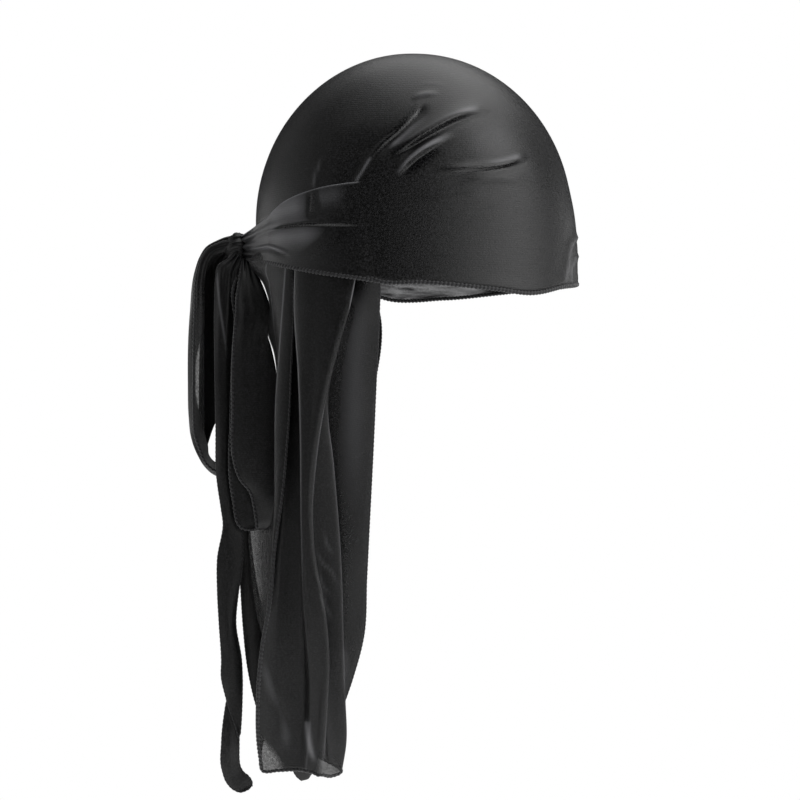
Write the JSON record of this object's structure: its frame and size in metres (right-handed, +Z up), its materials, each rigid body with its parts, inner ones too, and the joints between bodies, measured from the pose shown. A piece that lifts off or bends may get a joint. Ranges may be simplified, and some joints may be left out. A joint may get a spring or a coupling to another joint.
{
  "type": "durag",
  "caption": "Close-fitting satin durag in its worn form: a rounded cap with straps wrapped to a bow behind the head and a long tail of cloth hanging from the nape.",
  "frame": {"origin": "inside of the crown at its very top, where the wearer's head seats", "axes": "+X towards the wearer's forehead, +Y towards the wearer's left, +Z up"},
  "size_m": [0.2434, 0.1527, 0.4548],
  "materials": {
    "crown_satin": "silky black satin with a soft sheen",
    "strap_satin": "silky black satin, overlocked along both edges",
    "knot_satin": "silky black satin, pulled tight",
    "tail_satin": "thin silky black satin, slightly sheer where it is one layer"
  },
  "bodies": {
    "root": {"crown": "crown_satin", "strap_right": "strap_satin", "strap_left": "strap_satin", "knot": "knot_satin", "bow_loop_outer": "strap_satin", "bow_loop_front": "strap_satin", "tie_end_long": "strap_satin", "tie_end_short": "strap_satin", "tail": "tail_satin"}
  },
  "joints": []
}
